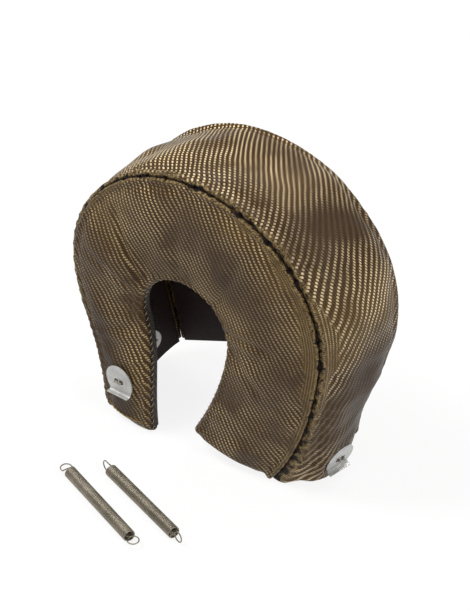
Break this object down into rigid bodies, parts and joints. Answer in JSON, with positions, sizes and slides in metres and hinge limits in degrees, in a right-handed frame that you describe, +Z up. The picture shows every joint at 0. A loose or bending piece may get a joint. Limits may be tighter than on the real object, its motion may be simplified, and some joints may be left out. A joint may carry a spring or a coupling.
{
  "type": "turbo heat blanket",
  "caption": "Hollow padded horseshoe heat blanket of woven mineral cloth with lacing hook discs and loose extension springs.",
  "frame": {"origin": "on the turbine axis, the centre of the seam circle, halfway between the two cheeks", "axes": "+Z up, away from the mouth between the legs; +Y along the turbine axis from the front cheek to the rear one; +X to the right seen from the front"},
  "size_m": [0.2257, 0.1987, 0.2369],
  "materials": {
    "cover_cloth": "glossy woven basalt filament cloth, bronze brown",
    "lining_cloth": "dark woven high-temperature lining cloth",
    "core_mat": "needled mineral fibre mat",
    "thread": "heavy heat-proof sewing thread",
    "stainless_sheet": "plain stainless sheet, satin",
    "staple_wire": "bright stainless wire",
    "spring_wire": "drawn stainless spring wire"
  },
  "bodies": {
    "root": {"band_core": "core_mat", "band_cover": "cover_cloth", "band_left_hook_disc": "stainless_sheet", "band_left_staple": "staple_wire", "band_left_washer": "stainless_sheet", "band_lining": "lining_cloth", "band_right_hook_disc": "stainless_sheet", "band_right_staple": "staple_wire", "band_right_washer": "stainless_sheet", "front_cheek_core": "core_mat", "front_cheek_cover": "cover_cloth", "front_cheek_lining": "lining_cloth", "front_left_hook_disc": "stainless_sheet", "front_left_staple": "staple_wire", "front_left_washer": "stainless_sheet", "front_rim_thread": "thread", "front_seam_thread": "thread", "rear_cheek_core": "core_mat", "rear_cheek_cover": "cover_cloth", "rear_cheek_lining": "lining_cloth", "rear_right_hook_disc": "stainless_sheet", "rear_right_staple": "staple_wire", "rear_right_washer": "stainless_sheet", "rear_rim_thread": "thread", "rear_seam_thread": "thread", "spring_1": "spring_wire", "spring_2": "spring_wire"}
  },
  "joints": []
}
